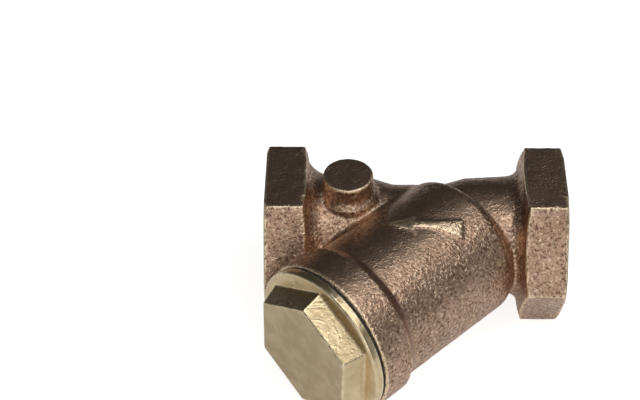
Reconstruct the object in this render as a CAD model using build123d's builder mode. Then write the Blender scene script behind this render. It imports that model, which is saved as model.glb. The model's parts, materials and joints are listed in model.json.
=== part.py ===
from build123d import *
import os
from math import cos, degrees, radians, sin, sqrt, tan

# Y-strainer for threaded pipe, laid on its side: bronze casting, brass cap and removable screen.
# Millimetres and degrees. The origin is the middle of the inlet port's face. +X points out of the inlet,
# the run lies along X, the leg of the Y points to -X and -Y, and +Z is square to the plane of the Y.

# Run of the casting
face_to_face = 137.0
hex_across_flats = 72.0
hex_length = 19.2
hex_corner_slope = 15.0
hex_face_chamfer = 0.8
port_thread_radius = 29.9
port_thread_length = 17.0
neck_radius = 28.2
foot_rise = 6.0
foot_sink = 0.8
inlet_foot_reach = 6.0
outlet_foot_reach = 10.0
run_wall = 4.2
shoulder_drop = 1.9
shoulder_length = 10.5
shoulder_blend = 9.0
waist_drop = 5.0
waist_length = 23.0
waist_distance = 55.5

# Screen and its bands
screen_radius = 23.0
screen_sheet = 0.8
screen_length = 80.5
screen_hole_radius = 2.3
screen_holes_around = 14
screen_rows = 8
screen_plain_end = 10.5
hole_margin = 1.2
lap_width = 6.0
lap_angle = 97.0
band_thickness = 1.0
band_width = 6.0

# Leg of the casting: stations run along its own axis from where it crosses the run's axis
leg_angle = 45.0
leg_crossing = 40.3
leg_space = 7.0
leg_wall = 4.2
leg_back_wall = 4.8
leg_back_round = 6.5
leg_root_fillet = 3.0
partition_station = 12.0
partition_thickness = 5.0
seat_depth = 3.0
seat_land = 1.6
seat_hole_reach = 8.0
seat_clearance = 0.3
collar_wall = 5.2
collar_length = 15.5
collar_slope = 4.3
collar_round = 1.2
mouth_margin = 0.8
mouth_round = 0.8

# Cap and gasket
cap_thread_step = 2.0
cap_thread_clearance = 0.08
cap_thread_bore = 13.0
cap_spigot_length = 12.0
cap_lead_chamfer = 1.0
cap_flange_inset = 0.9
cap_flange_thickness = 4.0
cap_flange_round = 0.4
cap_hex_across_flats = 56.5
cap_hex_height = 10.1
cap_hex_taper = 16.6
cap_hex_clocking = -1.5
cap_edge_round = 0.7
cap_top_thickness = 5.0
cap_hollow_land = 3.0
gasket_thickness = 1.2
gasket_inset = 1.4
gasket_clearance = 0.3

# Boss and flow arrow
boss_distance = 37.8
boss_radius = 11.7
boss_height = 8.8
boss_round = 1.0
boss_flare = 2.5
boss_depth = 8.2
arrow_distance = 48.0
arrow_length = 33.5
arrow_offset = 29.5
arrow_width = 9.0
arrow_shaft_width = 3.4
arrow_head_length = 12.0
arrow_tail_length = 11.0
arrow_tail_width = 8.0
arrow_relief = 1.0

# Radii worked out from the sizes above, from the screen outwards
band_radius = screen_radius + band_thickness
seat_radius = band_radius + seat_clearance
seat_hole_radius = screen_radius - seat_land
leg_bore_radius = screen_radius + leg_space
leg_radius = leg_bore_radius + leg_wall
cap_thread_radius = leg_bore_radius + cap_thread_step
spigot_radius = cap_thread_radius - cap_thread_clearance
collar_radius = cap_thread_radius + collar_wall
cap_flange_radius = collar_radius - cap_flange_inset
cap_hollow_radius = screen_radius - cap_hollow_land
hex_corner_radius = hex_across_flats / sqrt(3)
foot_radius = neck_radius + foot_rise
root_fillet = min(leg_root_fillet, (leg_radius - neck_radius) / 2)

# Stations along the leg, from the partition to the cap's face
leg_back = partition_station - leg_back_wall
partition_end = partition_station + partition_thickness
seat_station = partition_end - seat_depth
screen_end = seat_station + screen_length
mouth_station = screen_end + mouth_margin
thread_station = mouth_station - cap_thread_bore
collar_station = mouth_station - collar_length
flange_station = mouth_station + gasket_thickness
spigot_station = flange_station - cap_spigot_length
hex_station = flange_station + cap_flange_thickness
cap_face_station = hex_station + cap_hex_height

# The leg's axis, the plane square to it at the crossing, the plane of its turned outlines, and the run's middle
leg_direction = (-cos(radians(leg_angle)), -sin(radians(leg_angle)), 0)
crossing = (-leg_crossing, 0, 0)
leg_axis = Axis(crossing, leg_direction)
leg_plane = Plane(origin=crossing, x_dir=(0, 0, 1), z_dir=leg_direction)
leg_section = Plane(origin=crossing, x_dir=leg_direction, z_dir=(0, 0, 1))
run_middle = Plane.YZ.offset(-face_to_face / 2)


def run_outline(wall):
    """Places and radii of the run between its necks, less a wall: shoulder, waist, waist, shoulder."""
    waist_start = -waist_distance
    waist_end = waist_start - waist_length
    shoulder = neck_radius - shoulder_drop - wall
    waist = neck_radius - waist_drop - wall
    return [
        (waist_start + shoulder_length, shoulder),
        (waist_start, waist),
        (waist_end, waist),
        (waist_end - shoulder_length, shoulder),
    ]


def turned(section, outline, axis, rounds=()):
    """Solid of revolution of an outline closed along its axis; rounds pairs a corner's number with its radius."""
    with BuildPart() as solid:
        with BuildSketch(section) as profile:
            with BuildLine():
                Polyline(*outline, close=True)
            make_face()
            for corner, radius in rounds:
                fillet(profile.vertices().sort_by_distance(outline[corner])[0], radius)
        revolve(axis=axis)
    return solid.part


# Hexagonal end at the inlet: the hexagon is cut by a turned envelope that eases its corners
corner_height = hex_corner_radius - hex_across_flats / 2
hex_back_ease = corner_height * tan(radians(hex_corner_slope))
hex_face_radius = hex_corner_radius - hex_face_chamfer / tan(radians(hex_corner_slope))
hex_envelope = turned(Plane.XY, [
    (0, 0),
    (0, hex_face_radius),
    (-hex_face_chamfer, hex_corner_radius),
    (hex_back_ease - hex_length, hex_corner_radius),
    (-hex_length, hex_across_flats / 2),
    (-hex_length, 0),
], Axis.X)
with BuildPart() as hex_end:
    with BuildSketch(Plane.YZ):
        RegularPolygon(hex_corner_radius, 6)
    extrude(amount=-hex_length)
    add(hex_envelope, mode=Mode.INTERSECT)

# Run between the hexagons: it reaches half way into each of them
run_start = -hex_length / 2
run_end = -face_to_face - run_start
run_solid = turned(Plane.XY, [
    (run_start, 0),
    (run_start, neck_radius),
    *run_outline(0),
    (run_end, neck_radius),
    (run_end, 0),
], Axis.X, rounds=[(corner, shoulder_blend) for corner in (2, 3, 4, 5)])


def neck_foot(reach):
    """Turned flare that runs from the hexagon's back down the neck and sinks under the neck's skin."""
    rise = foot_rise + foot_sink
    run = reach + foot_sink
    foot_top = (-hex_length, foot_radius)
    foot_toe = (-hex_length - run, neck_radius - foot_sink)
    with BuildPart() as foot:
        with BuildSketch(Plane.XY):
            with BuildLine():
                RadiusArc(foot_top, foot_toe, (run**2 + rise**2) / (2 * rise))
                Polyline(foot_toe, (foot_toe[0], 0), (run_start, 0), (run_start, foot_radius), foot_top)
            make_face()
        revolve(axis=Axis.X)
    return foot.part


# The outlet's foot reaches further down its neck than the inlet's
inlet_foot = neck_foot(inlet_foot_reach)
outlet_foot = neck_foot(outlet_foot_reach)

# Leg: the barrel with its rounded back, and the collar that slopes out of it and carries the flat mouth
barrel = turned(leg_section, [
    (leg_back, 0),
    (leg_back, leg_radius),
    (thread_station, leg_radius),
    (thread_station, 0),
], leg_axis, rounds=[(1, leg_back_round)])
collar_rise = collar_radius - leg_radius
collar_toe = collar_station - 2 * collar_slope
collar = turned(leg_section, [
    (collar_toe, 0),
    (collar_toe, leg_radius - collar_rise),
    (collar_station, collar_radius),
    (mouth_station, collar_radius),
    (mouth_station, 0),
], leg_axis, rounds=[(2, collar_round), (3, mouth_round)])

# Boss: blind, on the crown of the outlet neck, with a flared root
boss_x = boss_distance - face_to_face
boss_edge = boss_x + boss_radius
boss_root = neck_radius - shoulder_drop
boss = turned(Plane.XZ, [
    (boss_x, boss_root - boss_depth),
    (boss_edge + boss_flare, boss_root - boss_depth),
    (boss_edge + boss_flare, boss_root),
    (boss_edge, boss_root + boss_flare),
    (boss_edge, neck_radius + boss_height),
    (boss_x, neck_radius + boss_height),
], Axis((boss_x, 0, 0), (0, 0, 1)), rounds=[(3, boss_flare), (4, boss_round)])

# Flow arrow: its outline, with a flared tail, is drawn square to Z and stands a little proud of the barrel
tail_x = -arrow_distance
shaft_x = tail_x - arrow_tail_length
tip_x = tail_x - arrow_length
head_x = tip_x + arrow_head_length
with BuildPart() as arrow:
    with BuildSketch(Plane.XY.offset(leg_radius / 2)):
        with BuildLine():
            Polyline(
                (tail_x, -arrow_offset),
                (tail_x, arrow_tail_width / 2 - arrow_offset),
                (shaft_x, arrow_shaft_width / 2 - arrow_offset),
                (head_x, arrow_shaft_width / 2 - arrow_offset),
                (head_x, arrow_width / 2 - arrow_offset),
                (tip_x, -arrow_offset),
                close=True,
            )
        make_face()
        mirror(about=Plane.XZ.offset(arrow_offset))
    extrude(amount=leg_radius)
    with BuildSketch(leg_plane):
        Circle(leg_radius + arrow_relief)
    extrude(amount=mouth_station, mode=Mode.INTERSECT)

# Ways through the casting: the run's bore on either side of the partition, the seat's hole and the leg's bore
bore_start = -port_thread_length / 2
bore_end = -face_to_face - bore_start
bore = turned(Plane.XY, [
    (bore_start, 0),
    (bore_start, neck_radius - run_wall),
    *run_outline(run_wall),
    (bore_end, neck_radius - run_wall),
    (bore_end, 0),
], Axis.X)
with BuildPart() as inlet_way:
    add(bore)
    split(bisect_by=leg_plane.offset(partition_station), keep=Keep.BOTTOM)
    with BuildSketch(leg_plane.offset(seat_station)):
        Circle(seat_hole_radius)
    extrude(amount=partition_station - seat_hole_reach - seat_station)
with BuildPart() as outlet_way:
    add(bore)
    split(bisect_by=leg_plane.offset(partition_end), keep=Keep.TOP)
leg_way = turned(leg_section, [
    (seat_station, 0),
    (seat_station, seat_radius),
    (partition_end, seat_radius),
    (partition_end, leg_bore_radius),
    (thread_station, leg_bore_radius),
    (thread_station, cap_thread_radius),
    (mouth_station, cap_thread_radius),
    (mouth_station, 0),
], leg_axis)

# Body: one casting. The barrel's root is filleted before the rest joins it
with BuildPart() as body:
    add(run_solid)
    add(barrel)
    fillet(body.edges(Select.NEW), root_fillet)
    add([inlet_foot, collar, hex_end.part])
    mirror([outlet_foot, hex_end.part], about=run_middle)
    add([boss, arrow.part])
    add([inlet_way.part, outlet_way.part, leg_way], mode=Mode.SUBTRACT)
    for port in (Plane.YZ, Plane.YZ.offset(port_thread_length - face_to_face)):
        with BuildSketch(port):
            Circle(port_thread_radius)
        extrude(amount=-port_thread_length, mode=Mode.SUBTRACT)
body.part.label = "body"

# Cap: flange, tapered hexagon and hollow threaded spigot
cap_turning = turned(leg_section, [
    (spigot_station, 0),
    (spigot_station, spigot_radius - cap_lead_chamfer),
    (spigot_station + cap_lead_chamfer, spigot_radius),
    (flange_station, spigot_radius),
    (flange_station, cap_flange_radius),
    (hex_station, cap_flange_radius),
    (hex_station, 0),
], leg_axis, rounds=[(4, cap_flange_round), (5, cap_flange_round)])
cap_hollow = turned(leg_section, [
    (spigot_station, 0),
    (spigot_station, seat_radius),
    (screen_end, seat_radius),
    (screen_end, cap_hollow_radius),
    (cap_face_station - cap_top_thickness, cap_hollow_radius),
    (cap_face_station - cap_top_thickness, 0),
], leg_axis)
with BuildPart() as cap:
    with BuildSketch(leg_plane.offset(hex_station)):
        RegularPolygon(cap_hex_across_flats / sqrt(3), 6, rotation=cap_hex_clocking)
    extrude(amount=cap_hex_height, taper=cap_hex_taper)
    root_edges = cap.edges().group_by(leg_axis)[0]
    fillet(cap.edges() - root_edges, cap_edge_round)
    add(cap_turning)
    add(cap_hollow, mode=Mode.SUBTRACT)
cap.part.label = "cap"

# Gasket: flat ring between the collar's mouth and the cap's flange
with BuildPart() as cap_gasket:
    with BuildSketch(leg_plane.offset(mouth_station)):
        Circle(collar_radius - gasket_inset)
        Circle(cap_thread_radius + gasket_clearance, mode=Mode.SUBTRACT)
    extrude(amount=gasket_thickness)
cap_gasket.part.label = "cap_gasket"

# Screen: rolled perforated sheet, lapped between its bands. Rows of holes are staggered and stop short of the lap
lap_side = Vector(0, 0, 1).rotate(leg_axis, lap_angle)
lap_plane = Plane(origin=crossing, x_dir=lap_side, z_dir=leg_direction)
lap_blank = degrees((lap_width / 2 + screen_hole_radius + hole_margin) / screen_radius)
hole_step = (360 - 2 * lap_blank) / (screen_holes_around - 0.5)
row_pitch = (screen_length - 2 * screen_plain_end) / (screen_rows - 1)
with BuildPart() as screen:
    with BuildSketch(lap_plane.offset(seat_station)):
        Circle(screen_radius)
        Circle(screen_radius - screen_sheet, mode=Mode.SUBTRACT)
    extrude(amount=screen_length)
    with BuildSketch(lap_plane.offset(seat_station + band_width)):
        Rectangle(2 * screen_radius, lap_width, align=(Align.MIN, Align.CENTER))
        Circle(screen_radius + screen_sheet, mode=Mode.INTERSECT)
        Circle(screen_radius - screen_sheet / 2, mode=Mode.SUBTRACT)
    extrude(amount=screen_length - 2 * band_width)
    for row in range(screen_rows):
        first_hole = lap_blank + row % 2 * hole_step / 2
        with Locations(lap_plane.offset(seat_station + screen_plain_end + row * row_pitch)):
            with PolarLocations(screen_radius, screen_holes_around, first_hole, screen_holes_around * hole_step):
                Cylinder(screen_hole_radius, 4 * screen_sheet, rotation=(0, 90, 0), mode=Mode.SUBTRACT)
screen.part.label = "screen"


def screen_band(name, start):
    """Band round the screen, from a station along the leg."""
    with BuildPart() as band:
        with BuildSketch(leg_plane.offset(start)):
            Circle(band_radius)
            Circle(screen_radius, mode=Mode.SUBTRACT)
        extrude(amount=band_width)
    band.part.label = name
    return band.part


# Band at the seat, and band in the cap's recess
upper_band = screen_band("screen_upper_band", seat_station)
lower_band = screen_band("screen_lower_band", screen_end - band_width)

os.makedirs("parts", exist_ok=True)
export_step(body.part, "parts/body.step")
export_step(cap.part, "parts/cap.step")
export_step(cap_gasket.part, "parts/cap_gasket.step")
export_step(screen.part, "parts/screen.step")
export_step(upper_band, "parts/screen_upper_band.step")
export_step(lower_band, "parts/screen_lower_band.step")
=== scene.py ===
"""Bronze Y-strainer: finishes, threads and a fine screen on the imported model, and the studio round it.

Every piece takes its place from the frame: its nodes, mounts and joints, in metres.
"""

import json
import math

import bmesh
import bpy
import numpy as np
from bpy.props import FloatProperty, FloatVectorProperty, IntProperty, PointerProperty
from mathutils import Matrix, Vector, noise


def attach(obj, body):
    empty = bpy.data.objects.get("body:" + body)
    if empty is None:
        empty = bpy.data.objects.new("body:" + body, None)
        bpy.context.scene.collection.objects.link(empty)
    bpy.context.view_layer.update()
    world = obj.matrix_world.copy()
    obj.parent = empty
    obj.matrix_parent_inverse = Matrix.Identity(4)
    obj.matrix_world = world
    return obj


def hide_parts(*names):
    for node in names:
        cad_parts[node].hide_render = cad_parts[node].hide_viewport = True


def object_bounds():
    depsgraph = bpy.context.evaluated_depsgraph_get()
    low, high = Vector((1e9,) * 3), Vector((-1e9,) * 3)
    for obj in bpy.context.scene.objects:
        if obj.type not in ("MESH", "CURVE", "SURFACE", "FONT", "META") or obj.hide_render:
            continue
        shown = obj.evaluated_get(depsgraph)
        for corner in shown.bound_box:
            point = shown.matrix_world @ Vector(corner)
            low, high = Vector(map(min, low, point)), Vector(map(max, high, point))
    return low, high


bl_info = {
    "name": "Y-strainer",
    "version": (1, 0, 0),
    "blender": (4, 5, 0),
    "location": "View3D > Sidebar > Strainer",
    "description": "Dresses a packed Y-strainer with cast bronze, brass, threads and a fine screen",
    "category": "Object",
}

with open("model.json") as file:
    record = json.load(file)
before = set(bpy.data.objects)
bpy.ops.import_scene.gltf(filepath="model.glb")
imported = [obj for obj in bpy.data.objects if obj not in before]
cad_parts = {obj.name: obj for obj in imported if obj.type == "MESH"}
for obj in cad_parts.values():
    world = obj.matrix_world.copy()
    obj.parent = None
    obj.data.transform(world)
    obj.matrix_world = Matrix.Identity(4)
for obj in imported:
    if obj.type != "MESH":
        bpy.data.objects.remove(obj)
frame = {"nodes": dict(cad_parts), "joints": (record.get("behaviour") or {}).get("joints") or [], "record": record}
cad_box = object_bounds()

joints = {joint["name"]: joint for joint in frame["joints"]}
mounts = {mount["name"]: mount for mount in frame["record"]["mounts"]}
coupling = frame["record"]["behaviour"]["couplings"][0]
cap_pitch = coupling["ratio"] * 2 * math.pi

# The leg's own frame: station along its axis, then up (+Z) and side, which points back towards the outlet
leg_axis = Vector(joints["cap_turn"]["axis"]).normalized()
leg_origin = Vector(joints["cap_turn"]["pos_m"])
leg_up = Vector((0.0, 0.0, 1.0))
leg_side = leg_axis.cross(leg_up)


def own_frame(origin, axis, across):
    """Matrix whose Z is the axis and whose X is across it."""
    columns = Matrix((across, axis.cross(across), axis)).transposed()
    return Matrix.Translation(origin) @ columns.to_4x4()


leg_frame = own_frame(leg_origin, leg_axis, leg_up)


def leg_places(points):
    """Station, radius and angle from up towards the side, of points in the row frame."""
    offset = points - np.array(leg_origin)
    station = offset @ np.array(leg_axis)
    up = offset @ np.array(leg_up)
    side = offset @ np.array(leg_side)
    return station, np.hypot(up, side), np.arctan2(side, up)


def mesh_points(mesh):
    """Vertices of a mesh as an array."""
    points = np.empty(len(mesh.vertices) * 3)
    mesh.vertices.foreach_get("co", points)
    return points.reshape(-1, 3)


def node_places(node):
    """Stations, radii and angles of a CAD node's vertices about the leg."""
    return leg_places(mesh_points(frame["nodes"][node].data))


# Stations and radii of the leg's pieces, read off their CAD nodes
cap_places = node_places("cap")
gasket_places = node_places("cap_gasket")
screen_places = node_places("screen")
band_places = node_places("screen_upper_band")
mouth_station, flange_station = gasket_places[0].min(), gasket_places[0].max()
spigot_station, face_station = cap_places[0].min(), cap_places[0].max()
flange_radius = cap_places[1].max()
spigot_radius = cap_places[1][cap_places[0] < mouth_station].max()


# How deep the duller finish of the cap's face goes
FACE_DEPTH = 0.0002

# The sloping step between the barrel and the collar, where the skin gets painted shade
COLLAR_LENGTH = 0.0155
COLLAR_SLOPE = 0.0055
COLLAR_RISE = 0.003
COLLAR_BLEND = 0.0007

# The flow arrow on the barrel: where it stands, how much of its relief is left and how rubbed it is
BARREL_RADIUS = 0.0342
ARROW_RELIEF = 0.001
ARROW_LEFT = 0.75
ARROW_WEAR = 0.42
ARROW_STATIONS = (0.022, 0.062)
ARROW_ANGLE = math.radians(45)

# The skin: the round that counts as sharp, the least square of an edge's length that is divided by,
# and the shares of broad and fine unevenness round the middle depth
SHARP_ROUND = 0.001
LEAST_SQUARE = 1e-12
MIDDLE_DEPTH = 0.5
LUMP_SHARE = 0.45
FLECK_SHARE = 0.4

# Threads: width of their flats as a share of the pitch, play between the cap's and the mouth's, and
# rows of the cap's mesh for each turn
THREAD_FLAT = 0.12
THREAD_PLAY = 0.00008
CAP_ROWS_PER_PITCH = 10

# The cap: radius of the ring that its ends are filled from, size of the blend at the hexagon's root
# with its middle as shares of that, and the rings on its face as shares of the way out to the flats
POLE_RADIUS = 0.0004
ROOT_BLEND = 0.0008
BLEND_RISE = 0.3
BLEND_SPREAD = 0.2
FACE_RINGS = (0.7, 0.35)

# The screen: sides of a hole, the rim of its cell in quarters of its width and shares of its height,
# the digits of a station that tell shared corners apart, and the points across its seam
HOLE_SIDES = 8
CELL_RIM = ((4, 0.5), (4, 1), (2, 1), (0, 1), (0, 0.5), (0, 0), (2, 0), (4, 0))
KEY_DIGITS = 7
SEAM_STEPS = 7

# The steel's brushing: how many times longer its streaks are than they are wide
BRUSHING = 12.0

# The cast grain: its holes' cells for each grain of sand, the shares of sand and specks in its height,
# and how strongly it breaks up the rubbed edges
CELLS_PER_GRAIN = 1.1
SAND_SHARE = 0.5
SPECK_SHARE = 0.5
WEAR_BREAK = 1.2

# How much of the skin's colour the painted shade on faces that point up covers
TOP_SHADE_COVER = 0.6

# Kinds of sockets, and those of a Mix node that take and give colours, whose names its others share
VALUE = "NodeSocketFloat"
VECTOR = "NodeSocketVector"
MIX_MASK = 0
MIX_FIRST = 6
MIX_SECOND = 7
MIX_RESULT = 2


def a_length(name, description, default):
    """Property that holds a length, in metres."""
    return FloatProperty(
        name=name, description=description, default=default, subtype="DISTANCE", unit="LENGTH")


def an_angle(name, description, degrees):
    """Property that holds an angle, whose default is given in degrees."""
    return FloatProperty(
        name=name, description=description, default=math.radians(degrees), subtype="ANGLE", unit="ROTATION")


def a_colour(name, description, default):
    """Property that holds a colour, as linear red, green and blue."""
    return FloatVectorProperty(name=name, description=description, default=default, size=3, subtype="COLOR")


class CastingSettings(bpy.types.PropertyGroup):
    """Skin and threads of the cast body."""

    skin_step: a_length("Skin step", "Spacing of the skin's vertices, which also softens its edges", 0.0008)
    skin_faces: IntProperty(
        name="Skin faces", description="Triangles that the skin is thinned out to", default=112000)
    unevenness: a_length("Unevenness", "Depth of the sand's marks in the skin", 0.0003)
    lump_size: a_length("Lump size", "Width of the skin's broad unevenness", 0.009)
    fleck_size: a_length("Fleck size", "Width of the skin's finer unevenness", 0.0026)
    pipe_pitch: a_length("Pipe thread pitch", "11.5 threads per inch", 0.00220870)
    pipe_thread_depth: a_length("Pipe thread depth", "From the thread's root to its crest", 0.0016)
    mouth_thread_bore: a_length("Mouth thread length", "Threaded stretch inside the leg's mouth", 0.0128)
    thread_backing: a_length(
        "Thread backing", "How far the skin's bore stands back behind a thread's root", 0.0004)
    skin_colour: a_colour("Skin colour", "Cast skin, in its darker patches", (0.46, 0.300, 0.205))
    pale_skin_colour: a_colour("Pale skin colour", "Cast skin, in its paler patches", (0.58, 0.385, 0.275))
    hollow_colour: a_colour("Hollow colour", "Dirt between the skin's grains", (0.22, 0.135, 0.095))
    # Painted glints: the pale colour painted on the tops of the sand grains
    glint_colour: a_colour("Glint colour", "Tops of the skin's grains", (0.82, 0.62, 0.44))
    # Painted shade: even colour, without the grain's glints and hollows, painted over the collar's sloping step
    step_shade_colour: a_colour("Step shade colour", "Skin in the collar's sloping step", (0.46, 0.29, 0.22))
    # Painted shade: dull, even colour given to skin that faces up, standing in for the dark room those faces
    # reflect
    top_shade_colour: a_colour("Top shade colour", "Film of dust on the skin that faces up", (0.50, 0.36, 0.26))
    rubbed_colour: a_colour("Rubbed colour", "Metal on the skin's rubbed edges", (0.92, 0.72, 0.50))
    cut_colour: a_colour("Cut colour", "Cut bronze of the threads, in its darker patches", (0.66, 0.46, 0.32))
    pale_cut_colour: a_colour(
        "Pale cut colour", "Cut bronze of the threads, in its paler patches", (0.78, 0.56, 0.38))


class CapSettings(bpy.types.PropertyGroup):
    """Flange, hexagon and thread of the cap."""

    flange_thickness: a_length("Flange thickness", "From the gasket to the hexagon's root", 0.004)
    flange_round: a_length("Flange round", "Radius of the flange's edge at the gasket", 0.0005)
    flange_front_round: a_length("Flange front round", "Radius of the flange's edge at the hexagon", 0.0015)
    hex_root: a_length("Hexagon's root", "Across the hexagon's flats at the flange", 0.0565)
    hex_taper: an_angle("Hexagon's taper", "Lean of the flats towards the cap's axis", 16.6)
    hex_clocking: an_angle(
        "Hexagon's clocking", "Turn of a corner from straight up towards the leg's side", -1.5)
    edge_round: a_length("Edge round", "Radius of the hexagon's edges and corners", 0.0011)
    thread_depth: a_length("Thread depth", "From the spigot thread's crest to its root", 0.00095)
    lead: a_length("Lead", "Chamfer at the spigot's end", 0.001)
    hollow_radius: a_length("Hollow", "Radius of the cap's inside, past the screen's recess", 0.02)
    recess_radius: a_length("Recess", "Radius of the recess that takes the screen's lower band", 0.0243)
    top_thickness: a_length("Top thickness", "Metal behind the hexagon's face", 0.005)
    sides: IntProperty(name="Sides", description="Steps round the cap", default=420)
    brass_colour: a_colour("Brass colour", "Machined brass, in its darker patches", (0.66, 0.51, 0.30))
    pale_brass_colour: a_colour(
        "Pale brass colour", "Machined brass, in its paler patches", (0.80, 0.64, 0.40))
    face_colour: a_colour(
        "Face colour", "Duller brass of the cap's face, in its darker patches", (0.49, 0.375, 0.225))
    pale_face_colour: a_colour(
        "Pale face colour", "Duller brass of the cap's face, in its paler patches", (0.60, 0.47, 0.295))
    rubbed_colour: a_colour("Rubbed colour", "Brass on the cap's rubbed edges", (0.90, 0.76, 0.52))
    pit_colour: a_colour("Pit colour", "Dirt in the brass's pits", (0.10, 0.08, 0.05))
    gasket_colour: a_colour(
        "Gasket colour", "Fibre of the gasket, in its darker patches", (0.018, 0.018, 0.016))
    pale_gasket_colour: a_colour(
        "Pale gasket colour", "Fibre of the gasket, in its paler patches", (0.045, 0.042, 0.036))


class ScreenSettings(bpy.types.PropertyGroup):
    """Perforated sheet of the screen."""

    sheet: a_length("Sheet", "Thickness of the sheet", 0.0008)
    hole: a_length("Hole", "Diameter of a hole", 0.0016)
    pitch: a_length("Pitch", "Spacing of the holes round the screen", 0.0028)
    plain_end: a_length("Plain end", "Sheet without holes at either end, under the bands", 0.0065)
    lap_width: a_length("Lap", "Width of the seam where the sheet laps over itself", 0.006)
    steel_colour: a_colour("Steel colour", "Stainless steel, in its darker streaks", (0.50, 0.50, 0.49))
    pale_steel_colour: a_colour(
        "Pale steel colour", "Stainless steel, in its paler streaks", (0.62, 0.62, 0.60))


class StageSettings(bpy.types.PropertyGroup):
    """Camera, lamps and floor."""

    azimuth: an_angle("Azimuth", "Camera's turn round the strainer, from looking along +Y", 1.826)
    elevation: an_angle("Elevation", "Camera's height above the horizon", 42.448)
    roll: an_angle("Roll", "Camera's turn about its own line of sight", -0.877)
    distance: a_length(
        "Distance", "From the camera to the middle of the run, along the line of sight", 0.8032)
    aside: a_length("Aside", "How far the camera stands to the right of the run's middle", -0.0439)
    above: a_length("Above", "How far the camera stands above the run's middle, in its own picture", 0.01583)
    lens: FloatProperty(
        name="Lens", description="Focal length, in millimetres on a 36 mm sensor", default=96.2)
    floor_reach: a_length("Floor", "Half the floor's side", 4.0)
    floor_colour: a_colour("Floor colour", "Paper of the floor", (0.8, 0.8, 0.8))
    floor_lift: FloatProperty(
        name="Floor lift", description="Light added to the paper for the camera, so that it is white",
        default=0.8)
    mirrored_lift: FloatProperty(
        name="Mirrored lift", description="Light added to the paper near the strainer, for its reflection",
        default=0.28)
    surroundings: FloatProperty(
        name="Surroundings", description="Brightness of the room that the metal reflects", default=0.036)


def add_node(tree, kind, inputs=None, **settings):
    """Shader node with its settings, and its inputs set to constants or linked to other nodes' outputs."""
    node = tree.nodes.new(kind)
    for name, value in settings.items():
        setattr(node, name, value)
    for name, value in (inputs or {}).items():
        if isinstance(value, bpy.types.NodeSocket):
            tree.links.new(value, node.inputs[name])
        else:
            node.inputs[name].default_value = value
    return node


def maths(tree, operation, *values):
    """Output of a Math node on constants and other outputs."""
    return add_node(tree, "ShaderNodeMath", dict(enumerate(values)), operation=operation).outputs[0]


def ranged(tree, value, low=0.0, high=1.0, start=0.0, end=1.0, kind="LINEAR"):
    """Output that runs from start to end while a value runs from low to high."""
    inputs = {"Value": value, "From Min": low, "From Max": high, "To Min": start, "To Max": end}
    return add_node(tree, "ShaderNodeMapRange", inputs, interpolation_type=kind).outputs["Result"]


def new_group(name, inputs, outputs):
    """Shader node group with its sockets, as (tree, outputs of its input node, inputs of its output node)."""
    tree = bpy.data.node_groups.new(name, "ShaderNodeTree")
    for label, kind in inputs.items():
        tree.interface.new_socket(name=label, in_out="INPUT", socket_type=kind)
    for label, kind in outputs.items():
        tree.interface.new_socket(name=label, in_out="OUTPUT", socket_type=kind)
    return tree, tree.nodes.new("NodeGroupInput").outputs, tree.nodes.new("NodeGroupOutput").inputs


def grain_group():
    """Sand-cast grain: how high the skin stands and which way it faces."""
    tree, given, made = new_group(
        "cast_grain", {"Place": VECTOR, "Size": VALUE, "Depth": VALUE}, {"Height": VALUE, "Normal": VECTOR})
    scale = maths(tree, "DIVIDE", 1.0, given["Size"])
    noise_node = add_node(tree, "ShaderNodeTexNoise", {
        "Vector": given["Place"], "Scale": scale, "Detail": 1.0, "Roughness": 0.4, "Distortion": 0.4})
    sand = noise_node.outputs["Fac"]
    cell_scale = maths(tree, "MULTIPLY", scale, CELLS_PER_GRAIN)
    cells = add_node(tree, "ShaderNodeTexVoronoi", {
        "Vector": given["Place"], "Scale": cell_scale, "Randomness": 1.0}).outputs["Distance"]
    specks = ranged(tree, sand, low=0.48, high=0.75, kind="SMOOTHSTEP")
    holes = ranged(tree, cells, low=0.05, high=0.4, start=-0.5, end=0.0, kind="SMOOTHSTEP")
    proud = maths(tree, "MULTIPLY_ADD", specks, SPECK_SHARE, holes)
    height = maths(tree, "MULTIPLY_ADD", sand, SAND_SHARE, proud)
    bump = add_node(tree, "ShaderNodeBump", {"Strength": 1.0, "Distance": given["Depth"], "Height": height})
    tree.links.new(sand, made["Height"])
    tree.links.new(bump.outputs["Normal"], made["Normal"])
    return tree


def blotch_group():
    """Broad patches: a mask from 0 to 1."""
    tree, given, made = new_group(
        "blotches", {"Place": VECTOR, "Size": VALUE, "Low": VALUE, "High": VALUE}, {"Mask": VALUE})
    patches = add_node(tree, "ShaderNodeTexNoise", {
        "Vector": given["Place"], "Scale": maths(tree, "DIVIDE", 1.0, given["Size"]), "Detail": 4.0,
        "Roughness": 0.55})
    mask = ranged(tree, patches.outputs["Fac"], low=given["Low"], high=given["High"], kind="SMOOTHSTEP")
    tree.links.new(mask, made["Mask"])
    return tree


def wear_group():
    """Rubbed edges, from the surface's stored sharpness, broken up by the grain."""
    tree, given, made = new_group("edge_wear", {"Grain": VALUE, "From": VALUE, "To": VALUE}, {"Mask": VALUE})
    sharp = add_node(tree, "ShaderNodeAttribute", attribute_name="sharpness").outputs["Fac"]
    broken = maths(tree, "MULTIPLY", sharp, maths(tree, "MULTIPLY", given["Grain"], WEAR_BREAK))
    tree.links.new(ranged(tree, broken, low=given["From"], high=given["To"]), made["Mask"])
    return tree


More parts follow.
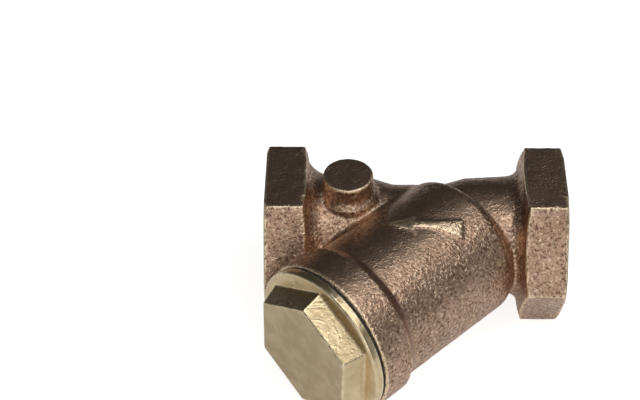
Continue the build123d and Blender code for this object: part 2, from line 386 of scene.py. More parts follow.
def pits_group():
    """Small scattered pits: a mask that is 1 in a pit."""
    tree, given, made = new_group(
        "pits", {"Place": VECTOR, "Spacing": VALUE, "Size": VALUE, "Share": VALUE}, {"Mask": VALUE})
    cells = add_node(tree, "ShaderNodeTexVoronoi", {
        "Vector": given["Place"], "Scale": maths(tree, "DIVIDE", 1.0, given["Spacing"]), "Randomness": 1.0})
    reach = maths(tree, "DIVIDE", given["Size"], given["Spacing"])
    near = maths(tree, "LESS_THAN", cells.outputs["Distance"], reach)
    chance = add_node(tree, "ShaderNodeSeparateColor", {"Color": cells.outputs["Color"]})
    chosen = maths(tree, "LESS_THAN", chance.outputs["Red"], given["Share"])
    tree.links.new(maths(tree, "MULTIPLY", near, chosen), made["Mask"])
    return tree


def tool_marks_group():
    """Rings that a lathe tool leaves about the Z of the place it is given."""
    tree, given, made = new_group(
        "tool_marks", {"Place": VECTOR, "Pitch": VALUE, "Depth": VALUE, "Normal": VECTOR}, {"Normal": VECTOR})
    flat = add_node(
        tree, "ShaderNodeVectorMath", {0: given["Place"], 1: (1.0, 1.0, 0.0)}, operation="MULTIPLY")
    radius = add_node(tree, "ShaderNodeVectorMath", {0: flat.outputs["Vector"]}, operation="LENGTH")
    rings = maths(tree, "DIVIDE", radius.outputs["Value"], given["Pitch"])
    strength = add_node(
        tree, "ShaderNodeTexNoise", {"W": rings, "Scale": 1.0, "Detail": 2.0}, noise_dimensions="1D")
    bump = add_node(tree, "ShaderNodeBump", {
        "Strength": 1.0, "Distance": given["Depth"], "Height": strength.outputs["Fac"],
        "Normal": given["Normal"]})
    tree.links.new(bump.outputs["Normal"], made["Normal"])
    return tree


GROUP_MAKERS = {
    "cast_grain": grain_group,
    "blotches": blotch_group,
    "edge_wear": wear_group,
    "pits": pits_group,
    "tool_marks": tool_marks_group,
}


def add_group(tree, name, inputs):
    """Outputs of a shared effect placed in a material; its group is made on first use."""
    group = bpy.data.node_groups.get(name) or GROUP_MAKERS[name]()
    return add_node(tree, "ShaderNodeGroup", inputs, node_tree=group).outputs


def add_blotches(tree, place, size, low, high):
    """Mask of broad patches of a size."""
    return add_group(tree, "blotches", {"Place": place, "Size": size, "Low": low, "High": high})["Mask"]


def new_material(name):
    """Empty material, as (material, tree, principled shader, place in the row frame)."""
    material = bpy.data.materials.new(name)
    material.use_nodes = True
    tree = material.node_tree
    place = tree.nodes.new("ShaderNodeTexCoord")
    return material, tree, tree.nodes["Principled BSDF"], place.outputs["Object"]


def leg_place(tree, place):
    """Place in the leg's own frame, from the place in the row frame."""
    inverse = leg_frame.inverted()
    inputs = {"Vector": place, "Location": inverse.to_translation(), "Rotation": inverse.to_euler()}
    return add_node(tree, "ShaderNodeMapping", inputs, vector_type="POINT").outputs["Vector"]


def mix_colour(tree, mask, first, second):
    """Output that runs from the first colour to the second with a mask; either can be another output."""
    ends = [end if isinstance(end, bpy.types.NodeSocket) else (*end, 1.0) for end in (first, second)]
    inputs = {MIX_MASK: mask, MIX_FIRST: ends[0], MIX_SECOND: ends[1]}
    return add_node(tree, "ShaderNodeMix", inputs, data_type="RGBA").outputs[MIX_RESULT]


def finish_metal(tree, shader, colour, rough):
    """Makes a shader a metal with a colour and a roughness from the tree."""
    tree.links.new(colour, shader.inputs["Base Color"])
    tree.links.new(rough, shader.inputs["Roughness"])
    shader.inputs["Metallic"].default_value = 1.0


def cast_bronze(casting):
    """As-cast skin: reddish brown and sandy with painted glints, rubbed bright on its edges, painted shade on top
    and on its step.
    """
    material, tree, shader, place = new_material("bronze_cast")
    patches = add_blotches(tree, place, size=0.013, low=0.35, high=0.68)
    coarser = add_blotches(tree, place, size=0.006, low=0.38, high=0.62)
    # Painted shade on the collar's sloping step: an even colour there, and little grain
    step_shade = add_node(tree, "ShaderNodeAttribute", attribute_name="step_shade").outputs["Fac"]
    # Painted shade on faces that point up: a dull, even colour there, and a shallower grain
    facing = add_node(tree, "ShaderNodeSeparateXYZ", {"Vector": place.node.outputs["Normal"]})
    top_shade = ranged(tree, facing.outputs["Z"], low=0.84, high=0.995, kind="SMOOTHSTEP")
    depth_off_step = maths(
        tree, "MULTIPLY", ranged(tree, coarser, start=0.0001, end=0.0003),
        ranged(tree, step_shade, start=1.0, end=0.2))
    depth = maths(tree, "MULTIPLY", depth_off_step, ranged(tree, top_shade, start=1.0, end=0.5))
    grain = add_group(tree, "cast_grain", {"Place": place, "Size": 0.0013, "Depth": depth})
    wear = add_group(tree, "edge_wear", {"Grain": grain["Height"], "From": 0.07, "To": 0.2})["Mask"]
    hollow = ranged(tree, grain["Height"], low=0.30, high=0.48)
    # Painted glints: the tops of the grains are painted a pale colour
    glint_peak = ranged(tree, grain["Height"], low=0.56, high=0.72)
    skin = mix_colour(tree, patches, casting.skin_colour, casting.pale_skin_colour)
    dirty = mix_colour(tree, hollow, casting.hollow_colour, skin)
    sparkling = mix_colour(tree, glint_peak, dirty, casting.glint_colour)
    # Painted shade over the collar's step
    shaded = mix_colour(tree, step_shade, sparkling, casting.step_shade_colour)
    # Painted shade over faces that point up
    top_shaded = mix_colour(tree, maths(tree, "MULTIPLY", top_shade, TOP_SHADE_COVER), shaded, casting.top_shade_colour)
    rubbed = mix_colour(tree, wear, top_shaded, casting.rubbed_colour)
    finish_metal(tree, shader, rubbed, ranged(tree, maths(tree, "ADD", hollow, wear), start=0.5, end=0.38))
    tree.links.new(grain["Normal"], shader.inputs["Normal"])
    return material


def cut_bronze(casting):
    """Threads and bores: bronze freshly cut."""
    material, tree, shader, place = new_material("bronze_cut")
    patches = add_blotches(tree, place, size=0.004, low=0.35, high=0.7)
    colour = mix_colour(tree, patches, casting.cut_colour, casting.pale_cut_colour)
    finish_metal(tree, shader, colour, ranged(tree, patches, start=0.36, end=0.28))
    return material


def yellow_brass(cap):
    """Machined cap: pale brass with faint rings, a duller face, rubbed edges and a few pits."""
    material, tree, shader, place = new_material("brass_cap")
    own = leg_place(tree, place)
    grain = add_group(tree, "cast_grain", {"Place": place, "Size": 0.0026, "Depth": 0.00007})
    rings = add_group(tree, "tool_marks", {
        "Place": own, "Pitch": 0.0006, "Depth": 0.00007, "Normal": grain["Normal"]})
    patches = add_blotches(tree, place, size=0.008, low=0.35, high=0.7)
    pits = add_group(tree, "pits", {"Place": place, "Spacing": 0.005, "Size": 0.0004, "Share": 0.1})["Mask"]
    wear = add_group(tree, "edge_wear", {"Grain": grain["Height"], "From": 0.10, "To": 0.30})["Mask"]
    parted = add_node(tree, "ShaderNodeSeparateXYZ", {"Vector": own})
    face = maths(tree, "GREATER_THAN", parted.outputs["Z"], face_station - FACE_DEPTH)
    metal = mix_colour(tree, patches, cap.brass_colour, cap.pale_brass_colour)
    dull = mix_colour(tree, patches, cap.face_colour, cap.pale_face_colour)
    rubbed = mix_colour(tree, wear, mix_colour(tree, face, metal, dull), cap.rubbed_colour)
    pitted = mix_colour(tree, pits, rubbed, cap.pit_colour)
    finish_metal(tree, shader, pitted, ranged(tree, patches, start=0.33, end=0.26))
    tree.links.new(rings["Normal"], shader.inputs["Normal"])
    return material


def gasket_fibre(cap):
    """Compressed fibre sheet."""
    material, tree, shader, place = new_material("fibre_gasket")
    patches = add_blotches(tree, place, size=0.0012, low=0.3, high=0.7)
    colour = mix_colour(tree, patches, cap.gasket_colour, cap.pale_gasket_colour)
    tree.links.new(colour, shader.inputs["Base Color"])
    tree.links.new(ranged(tree, patches, start=0.9, end=0.8), shader.inputs["Roughness"])
    return material


def stainless(screen, name, rough, smooth):
    """Rolled stainless sheet with faint brushing along the leg."""
    material, tree, shader, place = new_material(name)
    stretch = add_node(tree, "ShaderNodeVectorMath", {
        0: leg_place(tree, place), 1: (1.0, 1.0, BRUSHING)}, operation="MULTIPLY")
    streaks = add_blotches(tree, stretch.outputs["Vector"], size=0.004, low=0.3, high=0.7)
    colour = mix_colour(tree, streaks, screen.steel_colour, screen.pale_steel_colour)
    finish_metal(tree, shader, colour, ranged(tree, streaks, start=rough, end=smooth))
    return material


def floor_paper(stage):
    """White paper: lit as paper, and lifted for the camera so that only the shadow stays."""
    material, tree, shader, place = new_material("floor_paper")
    shader.inputs["Base Color"].default_value = (*stage.floor_colour, 1.0)
    shader.inputs["Roughness"].default_value = 0.95
    shader.inputs["Specular IOR Level"].default_value = 0.0
    path = tree.nodes.new("ShaderNodeLightPath").outputs
    away = add_node(tree, "ShaderNodeVectorMath", {0: place}, operation="LENGTH").outputs["Value"]
    near = ranged(tree, away, low=0.2, high=0.9, start=stage.mirrored_lift, end=0.0)
    mirrored = maths(tree, "MULTIPLY", path["Is Glossy Ray"], near)
    seen = maths(tree, "ADD", path["Is Camera Ray"], path["Is Transmission Ray"])
    lift = maths(tree, "MULTIPLY_ADD", seen, stage.floor_lift, mirrored)
    shader.inputs["Emission Color"].default_value = (1.0, 1.0, 1.0, 1.0)
    tree.links.new(lift, shader.inputs["Emission Strength"])
    return material


def ring_faces(rows, around, closed):
    """Quads of a grid of rows that are rings; a closed grid also joins its last row to its first."""
    last = rows if closed else rows - 1
    row, step = np.meshgrid(np.arange(last), np.arange(around), indexing="ij")
    after, beside = (row + 1) % rows, (step + 1) % around
    near, far = row * around, after * around
    return np.stack([near + step, near + beside, far + beside, far + step], -1).reshape(-1, 4).tolist()


def turned_points(place, stations, radii):
    """Points of rows about a place's Z: stations one per row, radii per row and per step round it."""
    around = radii.shape[1]
    angle = np.arange(around) * 2 * math.pi / around
    along = np.repeat(np.asarray(stations)[:, None], around, 1)
    local = np.stack([radii * np.cos(angle), radii * np.sin(angle), along], -1)
    turn = np.array(place.to_3x3())
    return local.reshape(-1, 3) @ turn.T + np.array(place.to_translation())


def thread_height(stations, around, pitch):
    """How far up the flank, from 0 at one flat to 1 at the other, of a right-handed thread about +Z."""
    angle = np.arange(around) / around
    turns = np.asarray(stations)[:, None] / pitch - angle[None, :]
    wave = np.abs(2 * (turns % 1.0) - 1)
    return np.clip((wave - THREAD_FLAT) / (1 - 2 * THREAD_FLAT), 0, 1)


def thread_ring(place, start, end, root, crest, outer, pitch, around=200, rows_per_pitch=8):
    """Closed ring with an inside thread between two stations, fading out at both, as (points, faces)."""
    count = int(math.ceil((end - start) / pitch * rows_per_pitch)) + 1
    stations = np.linspace(start, end, count)
    height = thread_height(stations, around, pitch)
    fade = np.clip(np.minimum(stations - start, end - stations) / (pitch / 2), 0, 1)[:, None]
    inside = root + (crest - root) * height * fade
    radii = np.vstack([inside, np.full((2, around), outer)])
    rows = np.concatenate([stations, [end, start]])
    return turned_points(place, rows, radii), ring_faces(len(rows), around, closed=True)


def in_scene(name, data):
    """New object of a mesh, lamp or camera, linked to the scene."""
    thing = bpy.data.objects.new(name, data)
    bpy.context.scene.collection.objects.link(thing)
    return thing


def new_object(name, points, faces, materials, smooth=True):
    """Object with a mesh whose normals face outwards."""
    mesh = bpy.data.meshes.new(name)
    mesh.from_pydata(points.tolist(), [], faces)
    for material in materials:
        mesh.materials.append(material)
    outwards(mesh)
    mesh.polygons.foreach_set("use_smooth", [smooth] * len(mesh.polygons))
    return in_scene(name, mesh)


def outwards(mesh):
    """Turns a closed mesh's faces outwards."""
    work = bmesh.new()
    work.from_mesh(mesh)
    bmesh.ops.recalc_face_normals(work, faces=work.faces)
    work.to_mesh(mesh)
    work.free()


def with_modifiers(thing, name):
    """Mesh of an object with its modifiers applied; the object is removed."""
    graph = bpy.context.evaluated_depsgraph_get()
    mesh = bpy.data.meshes.new_from_object(thing.evaluated_get(graph))
    mesh.name = name
    bpy.data.objects.remove(thing)
    return mesh


def ports():
    """Place, root radius and length of each pipe thread; Z points out of the port."""
    for name, across in (("inlet_thread", Vector((0, 1, 0))), ("outlet_thread", Vector((0, 0, 1)))):
        mount = mounts[name]
        place = own_frame(Vector(mount["pos_m"]), Vector(mount["axis"]), across)
        yield place, mount["dims"]["r_mm"] / 1000, mount["dims"]["length_mm"] / 1000


def mesh_normals(mesh):
    """Normals of a mesh's vertices as an array."""
    normals = np.empty(len(mesh.vertices) * 3)
    mesh.vertices.foreach_get("normal", normals)
    return normals.reshape(-1, 3)


def keep_values(mesh, name, values):
    """Stores one value per vertex, which materials read by its name."""
    layer = mesh.attributes.new(name, "FLOAT", "POINT")
    layer.data.foreach_set("value", values.astype(np.float32))


def sharpness(mesh):
    """How convex a surface is at each vertex, against the round that counts as sharp."""
    points, normals = mesh_points(mesh), mesh_normals(mesh)
    edges = np.empty(len(mesh.edges) * 2, dtype=int)
    mesh.edges.foreach_get("vertices", edges)
    first, second = edges.reshape(-1, 2).T
    across = points[first] - points[second]
    bend = np.einsum("ij,ij->i", normals[first] - normals[second], across) / np.maximum(
        np.einsum("ij,ij->i", across, across), LEAST_SQUARE)
    total = np.bincount(first, bend, len(points)) + np.bincount(second, bend, len(points))
    share = np.bincount(first, minlength=len(points)) + np.bincount(second, minlength=len(points))
    return total / np.maximum(share, 1) * SHARP_ROUND


def on_arrow(points):
    """Which points stand on the flow arrow: proud of the barrel, on its upper side and clear of the run."""
    station, distance, angle = leg_places(points)
    barrel = (station > ARROW_STATIONS[0]) & (station < ARROW_STATIONS[1])
    proud = np.abs(distance - BARREL_RADIUS - ARROW_RELIEF) < ARROW_RELIEF / 2
    return barrel & proud & (np.abs(angle) < ARROW_ANGLE)


def in_collar_step(points):
    """How far inside the collar's sloping step each point lies, from 0 to 1: where the skin gets painted shade."""
    station, distance, _ = leg_places(points)
    start, end = mouth_station - COLLAR_LENGTH - COLLAR_SLOPE, mouth_station - COLLAR_LENGTH
    inside = np.clip(np.minimum(station - start, end - station) / COLLAR_BLEND, 0, 1)
    return inside * (np.abs(distance - BARREL_RADIUS - COLLAR_RISE / 2) < COLLAR_RISE)


def remeshed_body(casting):
    """CAD body as an even skin whose edges are a little soft."""
    skin = in_scene("casting_skin", frame["nodes"]["body"].data.copy())
    remesh = skin.modifiers.new("skin", "REMESH")
    remesh.mode = "VOXEL"
    remesh.voxel_size = casting.skin_step
    return with_modifiers(skin, "casting")


def sand_marks(points, casting):
    """Depth of the sand's marks at each point, from 0 to 1."""
    lumps = np.array([noise.noise(Vector(point) / casting.lump_size) for point in points])
    flecks = np.array([noise.noise(Vector(point) / casting.fleck_size) for point in points])
    return np.clip(MIDDLE_DEPTH + LUMP_SHARE * lumps + FLECK_SHARE * flecks, 0, 1)


def casting_mesh(casting):
    """Skin of the casting, marked by sand and set back behind its threads."""
    mesh = remeshed_body(casting)
    points, normals = mesh_points(mesh), mesh_normals(mesh)
    keen = sharpness(mesh)
    arrow = on_arrow(points)
    keen[arrow] += ARROW_WEAR
    shift = -normals * (sand_marks(points, casting) * casting.unevenness)[:, None]
    shift[arrow] -= normals[arrow] * ARROW_RELIEF * (1 - ARROW_LEFT)

    slack = casting.skin_step
    mouth = leg_frame @ Matrix.Translation((0.0, 0.0, mouth_station))
    for place, radius, length in (*ports(), (mouth, mouth_root_radius(), casting.mouth_thread_bore)):
        axis = np.array(place.to_3x3().col[2])
        offset = points - np.array(place.to_translation())
        station = offset @ axis
        outward = offset - station[:, None] * axis
        distance = np.linalg.norm(outward, axis=1)
        shift[station > -slack / 2] = 0
        wall = (station > slack / 2 - length) & (np.abs(distance - radius) < slack)
        shift[wall] = outward[wall] * ((radius + casting.thread_backing) / distance[wall] - 1)[:, None]

    mesh.vertices.foreach_set("co", (points + shift).ravel())
    keep_values(mesh, "sharpness", keen)
    # Painted shade: the collar's sloping step is stored so that the material paints it an even colour with little
    # grain
    keep_values(mesh, "step_shade", in_collar_step(points))
    return mesh


def mouth_root_radius():
    """Root radius of the thread in the leg's mouth: the cap's thread and the play round it."""
    return spigot_radius + THREAD_PLAY


def thinned(mesh, target, name):
    """Mesh brought down to about a number of triangles."""
    thing = in_scene(name, mesh)
    thin = thing.modifiers.new("thin", "DECIMATE")
    thin.ratio = min(1.0, target / (2 * len(mesh.polygons)))
    return with_modifiers(thing, name)


def build_casting(casting, cap):
    """Body of the strainer in one piece: skin, pipe threads and the mouth's thread."""
    skin_mesh = thinned(casting_mesh(casting), casting.skin_faces, "casting")
    boxed = np.clip(mesh_points(skin_mesh), np.array(cad_box[0]), np.array(cad_box[1]))
    skin_mesh.vertices.foreach_set("co", boxed.ravel())
    skin_mesh.polygons.foreach_set("use_smooth", [True] * len(skin_mesh.polygons))
    skin_mesh.materials.clear()
    skin_mesh.materials.append(cast_bronze(casting))
    skin_mesh.materials.append(cut_bronze(casting))
    skin = in_scene("casting", skin_mesh)
    behind = 2 * casting.thread_backing
    rings = []
    for place, radius, length in ports():
        crest = radius - casting.pipe_thread_depth
        rings.append(thread_ring(place, -length, 0.0, radius, crest, radius + behind, casting.pipe_pitch))
    root = mouth_root_radius()
    start = mouth_station - casting.mouth_thread_bore
    rings.append(thread_ring(
        leg_frame, start, mouth_station, root, root - cap.thread_depth, root + behind, cap_pitch, around=240))
    parts = [skin]
    for number, (points, faces) in enumerate(rings):
        parts.append(new_object(f"thread_{number}", points, faces, skin_mesh.materials))
        parts[-1].data.polygons.foreach_set("material_index", [1] * len(faces))
    with bpy.context.temp_override(active_object=skin, object=skin, selected_objects=parts,
                                   selected_editable_objects=parts):
        bpy.ops.object.join()
    return skin


def hexagon_radius(inradius, corner_round, clocking, around):
    """Radius at each step round a hexagon with rounded corners, a corner standing at the clocking angle."""
    angle = np.arange(around) * 2 * math.pi / around - clocking
    sector = math.pi / 3
    from_corner = np.abs((angle + sector / 2) % sector - sector / 2)
    flat = inradius / np.cos(sector / 2 - from_corner)
    centre = (inradius - corner_round) / math.cos(sector / 2)
    inside = np.maximum(corner_round**2 - (centre * np.sin(from_corner)) ** 2, 0)
    arc = centre * np.cos(from_corner) + np.sqrt(inside)
    tangent = math.atan2(corner_round * math.sin(sector / 2), centre + corner_round * math.cos(sector / 2))
    return np.where(from_corner < tangent, arc, flat)


def arc_steps(first, last, count):
    """Angles from one to another, both ends kept."""
    return np.linspace(math.radians(first), math.radians(last), count)


def cap_rows(cap):
    """Stations and radii of the cap's rows, from the middle of its inside round to the middle of its face."""
    around = cap.sides
    stations, radii = [], []

    def row(station, radius):
        stations.append(station)
        radii.append(np.broadcast_to(radius, around))

    def hex_row(station, inradius):
        row(station, hexagon_radius(inradius, cap.edge_round, cap.hex_clocking, around))

    inside_end = face_station - cap.top_thickness
    recess_end = screen_places[0].max()
    row(inside_end, POLE_RADIUS)
    row(inside_end, cap.hollow_radius)
    row(recess_end, cap.hollow_radius)
    row(recess_end, cap.recess_radius)
    row(spigot_station, cap.recess_radius)
    row(spigot_station, spigot_radius - cap.lead)
    thread_start = spigot_station + cap.lead
    thread_end = flange_station - cap_pitch / 2
    count = int((thread_end - thread_start) / cap_pitch * CAP_ROWS_PER_PITCH)
    for station in np.linspace(thread_start, thread_end, count):
        fade = min(1.0, (thread_end - station) / (cap_pitch / 2))
        depth = thread_height([station], around, cap_pitch)[0]
        row(station, spigot_radius - cap.thread_depth * (1 - fade + fade * depth))
    row(flange_station, spigot_radius - cap.thread_depth)
    edge = cap.flange_round
    hex_station = flange_station + cap.flange_thickness
    for angle in arc_steps(-90, 0, count=4):
        row(flange_station + edge + edge * math.sin(angle), flange_radius - edge + edge * math.cos(angle))
    front = cap.flange_front_round
    for angle in arc_steps(0, 90, count=8):
        row(hex_station - front + front * math.sin(angle), flange_radius - front + front * math.cos(angle))
    slope = math.tan(cap.hex_taper)
    root = cap.hex_root / 2
    hex_row(hex_station, root + ROOT_BLEND)
    hex_row(hex_station + ROOT_BLEND * BLEND_RISE, root + ROOT_BLEND * BLEND_SPREAD)
    hex_row(hex_station + ROOT_BLEND, root - ROOT_BLEND * slope)
    centre_station = face_station - cap.edge_round
    line = root - (centre_station - hex_station) * slope
    centre = line - cap.edge_round / math.cos(cap.hex_taper)
    for angle in arc_steps(math.degrees(cap.hex_taper), 90, count=6):
        hex_row(centre_station + cap.edge_round * math.sin(angle), centre + cap.edge_round * math.cos(angle))
    for share in FACE_RINGS:
        row(face_station, share * centre)
    row(face_station, POLE_RADIUS)
    return np.array(stations), np.vstack(radii)


def build_cap(cap):
    """Cap in one piece."""
    stations, radii = cap_rows(cap)
    points = turned_points(leg_frame, stations, radii)
    around = cap.sides
    faces = ring_faces(len(stations), around, closed=False)
    faces.append(list(range(around)))
    faces.append(list(range(len(points) - around, len(points))))
    thing = new_object("threaded_cap", points, faces, [yellow_brass(cap)])
    keep_values(thing.data, "sharpness", sharpness(thing.data))
    thing.modifiers.new("even_flats", "WEIGHTED_NORMAL")
    return thing


def sheet_points(angle, station, radius):
    """Points on a tube about the leg."""
    place = np.array(leg_origin) + np.outer(station, leg_axis)
    return place + np.outer(radius * np.cos(angle), leg_up) + np.outer(radius * np.sin(angle), leg_side)


def perforated_sheet(settings, radius, start, end, seam):
    """Tube of staggered cells, each with a hole unless it lies under the seam, as (points, faces)."""
    around = round(2 * math.pi * radius / settings.pitch)
    rows = int((end - start - 2 * settings.plain_end) / (settings.pitch * math.sqrt(3) / 2))
    step_round = 2 * math.pi / around
    step_along = (end - start - 2 * settings.plain_end) / rows
    first = start + settings.plain_end
    keys, points, faces = {}, [], []

    def corner(angle_steps, station, layer):
        """Number of a vertex, shared by the cells that meet there; angles count in quarter cells."""
        key = (angle_steps % (4 * around), round(station, KEY_DIGITS), layer)
        if key not in keys:
            keys[key] = len(points)
            points.append((angle_steps * step_round / 4, station, radius - layer * settings.sheet))
        return keys[key]

    for row in range(rows):
        low = first + row * step_along
        for column in range(around):
            left = 4 * column + 2 * (row % 2)
            middle = (left + 2) * step_round / 4
            rims = []
            for layer in (0, 1):
                rims.append([corner(left + across, low + up * step_along, layer) for across, up in CELL_RIM])
            blank = abs((middle - seam + math.pi) % (2 * math.pi) - math.pi) * radius < (
                settings.lap_width / 2 + settings.hole / 2)
            if blank:
                faces.extend([rims[0], rims[1]])
                continue
            holes = []
            for layer in (0, 1):
                holes.append(list(range(len(points), len(points) + HOLE_SIDES)))
                for turn in range(HOLE_SIDES):
                    angle = turn * 2 * math.pi / HOLE_SIDES
                    points.append((middle + settings.hole / 2 * math.cos(angle) / radius,
                                   low + step_along / 2 + settings.hole / 2 * math.sin(angle),
                                   radius - layer * settings.sheet))
            for turn in range(HOLE_SIDES):
                after = (turn + 1) % HOLE_SIDES
                for rim, hole in zip(rims, holes):
                    faces.append([rim[turn], rim[after], hole[after], hole[turn]])
                faces.append([holes[0][turn], holes[0][after], holes[1][after], holes[1][turn]])

    for edge, plain in ((first, start), (first + rows * step_along, end)):
        for half in range(2 * around):
            near = [[corner(2 * half, edge, layer), corner(2 * half + 2, edge, layer)] for layer in (0, 1)]
            far = [[corner(2 * half, plain, layer), corner(2 * half + 2, plain, layer)] for layer in (0, 1)]
            for layer in (0, 1):
                faces.append([*near[layer], *reversed(far[layer])])
            faces.append([*far[0], *reversed(far[1])])
    values = np.array(points)
    return sheet_points(values[:, 0], values[:, 1], values[:, 2]), faces


def seam_strip(settings, radius, start, end, seam):
    """Lap of the sheet over itself, as (points, faces)."""
    half = settings.lap_width / 2 / radius
    across = np.linspace(seam - half, seam + half, SEAM_STEPS)
    angles, stations, radii = [], [], []
    for station in (start, end):
        for distance in (radius - settings.sheet / 2, radius + settings.sheet):
            angles.extend(across)
            stations.extend([station] * SEAM_STEPS)
            radii.extend([distance] * SEAM_STEPS)
    points = sheet_points(np.array(angles), np.array(stations), np.array(radii))
    low, high, low_far, high_far = np.arange(len(points)).reshape(-1, SEAM_STEPS).tolist()
    faces = []
    for k in range(SEAM_STEPS - 1):
        faces.append([high[k], high[k + 1], high_far[k + 1], high_far[k]])
        faces.append([low[k], low[k + 1], low_far[k + 1], low_far[k]])
        faces.append([low[k], low[k + 1], high[k + 1], high[k]])
        faces.append([low_far[k], low_far[k + 1], high_far[k + 1], high_far[k]])
    for k in (0, SEAM_STEPS - 1):
        faces.append([low[k], high[k], high_far[k], low_far[k]])
    return points, faces


def build_screen(settings):
    """Screen: perforated sheet with its lap."""
    start, end = screen_places[0].min(), screen_places[0].max()
    band_station, band_end = band_places[0].min(), band_places[0].max()
    inner = band_places[1].min()
    lapped = screen_places[1] > inner + settings.sheet / 2
    seam = math.atan2(np.sin(screen_places[2][lapped]).mean(), np.cos(screen_places[2][lapped]).mean())
    band_width = band_end - band_station
    sheet = perforated_sheet(settings, inner, start, end, seam)
    strip = seam_strip(settings, inner, start + band_width, end - band_width, seam)
    points = np.vstack([sheet[0], strip[0]])
    faces = sheet[1] + [[number + len(sheet[0]) for number in face] for face in strip[1]]
    sheet_steel = stainless(settings, "steel_sheet", rough=0.38, smooth=0.30)
    return new_object("perforated_screen", points, faces, [sheet_steel], smooth=False)


def middle_of_run():
    """Point half way between the two ports."""
    return (Vector(mounts["inlet_thread"]["pos_m"]) + Vector(mounts["outlet_thread"]["pos_m"])) / 2


def add_camera(stage):
    """Camera at the photograph's viewing angle."""
    azimuth, elevation, roll = stage.azimuth, stage.elevation, stage.roll
    back = Vector((
        math.sin(azimuth) * math.cos(elevation),
        -math.cos(azimuth) * math.cos(elevation),
        math.sin(elevation),
    ))
    right = Vector((math.cos(azimuth), math.sin(azimuth), 0.0))
    up = back.cross(right)
    turned_right = right * math.cos(roll) + up * math.sin(roll)
    turned_up = up * math.cos(roll) - right * math.sin(roll)
    data = bpy.data.cameras.new("camera")
    data.lens = stage.lens
    data.sensor_width = 36.0
    data.clip_start = 0.01
    data.clip_end = 50.0
    camera = in_scene("camera", data)
    place = middle_of_run() + back * stage.distance + turned_right * stage.aside + turned_up * stage.above
    turn = Matrix((turned_right, turned_up, back)).transposed()
    camera.matrix_world = Matrix.Translation(place) @ turn.to_4x4()
    bpy.context.scene.camera = camera


def add_lamp(name, direction, distance, size, brightness):
    """Square soft lamp that faces the strainer from a direction; brightness is that of its surface."""
    data = bpy.data.lights.new(name, "AREA")
    data.shape = "SQUARE"
    data.size = size
    data.energy = brightness * math.pi * size**2
    lamp = in_scene(name, data)
    towards = Vector(direction).normalized()
    lamp.location = middle_of_run() + towards * distance
    lamp.rotation_euler = towards.to_track_quat("Z", "Y").to_euler()


def add_floor(stage):
    """Level floor under the strainer's lowest point."""
    height = cad_box[0].z
    half = stage.floor_reach
    mesh = bpy.data.meshes.new("floor")
    corners = [(-half, -half, height), (half, -half, height), (half, half, height), (-half, half, height)]
    mesh.from_pydata(corners, [], [(0, 1, 2, 3)])
    mesh.materials.append(floor_paper(stage))
    floor = in_scene("floor", mesh)


class STRAINER_OT_stage(bpy.types.Operator):
    """Sets the camera, the lamps and the floor"""

    bl_idname = "strainer.stage"
    bl_label = "Stage"

    def execute(self, context):
        stage = context.scene.strainer_stage
        context.scene.view_settings.view_transform = "Standard"
        add_camera(stage)
        add_floor(stage)
        add_lamp("key", (0.45, -0.22, 0.87), distance=1.2, size=0.8, brightness=1.95)
        add_lamp("top", (-0.12, -0.3, 0.95), distance=1.2, size=0.5, brightness=2.5)
        add_lamp("back", (0.5, 0.22, 0.84), distance=1.2, size=0.55, brightness=0.8)
        add_lamp("right", (1.0, -0.25, 0.2), distance=1.2, size=0.7, brightness=0.25)
        add_lamp("left", (-0.9, -0.4, 0.3), distance=1.2, size=0.6, brightness=0.6)
        add_lamp("front", (0.0, -1.0, 0.32), distance=1.4, size=1.2, brightness=1.12)
        world = bpy.data.worlds.new("studio")
        world.use_nodes = True
        shade = stage.surroundings
        world.node_tree.nodes["Background"].inputs["Color"].default_value = (shade, shade, shade, 1.0)
        context.scene.world = world
        return {"FINISHED"}


class STRAINER_OT_casting(bpy.types.Operator):
    """Builds the cast body with its threads"""

    bl_idname = "strainer.casting"
    bl_label = "Casting"

    def execute(self, context):
        casting = build_casting(context.scene.strainer_casting, context.scene.strainer_cap)
        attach(casting, "housing")
        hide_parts("body")
        return {"FINISHED"}


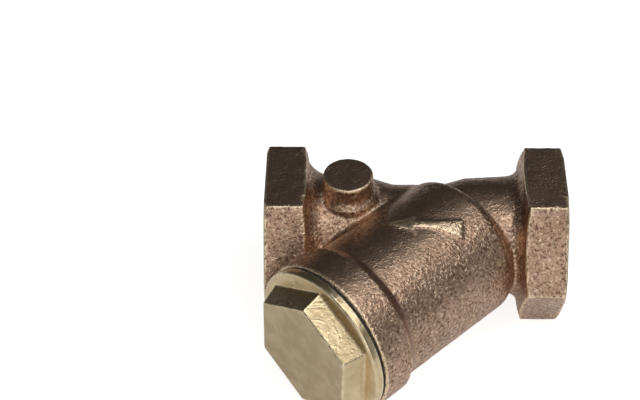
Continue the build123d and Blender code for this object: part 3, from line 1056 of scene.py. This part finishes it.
class STRAINER_OT_cap(bpy.types.Operator):
    """Builds the threaded cap and gives the gasket its finish"""

    bl_idname = "strainer.cap"
    bl_label = "Cap and gasket"

    def execute(self, context):
        cap = build_cap(context.scene.strainer_cap)
        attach(cap, "cap")
        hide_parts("cap")
        frame["nodes"]["cap_gasket"].material_slots[0].material = gasket_fibre(context.scene.strainer_cap)
        return {"FINISHED"}


class STRAINER_OT_screen(bpy.types.Operator):
    """Builds the perforated screen and gives its bands their finish"""

    bl_idname = "strainer.screen"
    bl_label = "Screen"

    def execute(self, context):
        screen = build_screen(context.scene.strainer_screen)
        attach(screen, "basket")
        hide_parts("screen")
        band = stainless(context.scene.strainer_screen, "steel_band", rough=0.32, smooth=0.24)
        for node in ("screen_upper_band", "screen_lower_band"):
            frame["nodes"][node].material_slots[0].material = band
        return {"FINISHED"}


class STRAINER_PT_panel(bpy.types.Panel):
    """Lists the strainer's pieces and its stage"""

    bl_idname = "STRAINER_PT_panel"
    bl_label = "Y-strainer"
    bl_space_type = "VIEW_3D"
    bl_region_type = "UI"
    bl_category = "Strainer"

    def draw(self, context):
        for name in OPERATORS:
            self.layout.operator(name)


OPERATORS = ("strainer.casting", "strainer.cap", "strainer.screen", "strainer.stage")
SETTINGS = {
    "strainer_casting": CastingSettings,
    "strainer_cap": CapSettings,
    "strainer_screen": ScreenSettings,
    "strainer_stage": StageSettings,
}
CLASSES = (
    *SETTINGS.values(),
    STRAINER_OT_casting,
    STRAINER_OT_cap,
    STRAINER_OT_screen,
    STRAINER_OT_stage,
    STRAINER_PT_panel,
)


def register():
    for each in CLASSES:
        bpy.utils.register_class(each)
    for name, settings in SETTINGS.items():
        setattr(bpy.types.Scene, name, PointerProperty(type=settings))


def unregister():
    for name in SETTINGS:
        delattr(bpy.types.Scene, name)
    for each in reversed(CLASSES):
        bpy.utils.unregister_class(each)


def main():
    register()
    bpy.ops.strainer.casting()
    bpy.ops.strainer.cap()
    bpy.ops.strainer.screen()
    bpy.ops.strainer.stage()


if __name__ == "__main__":
    main()
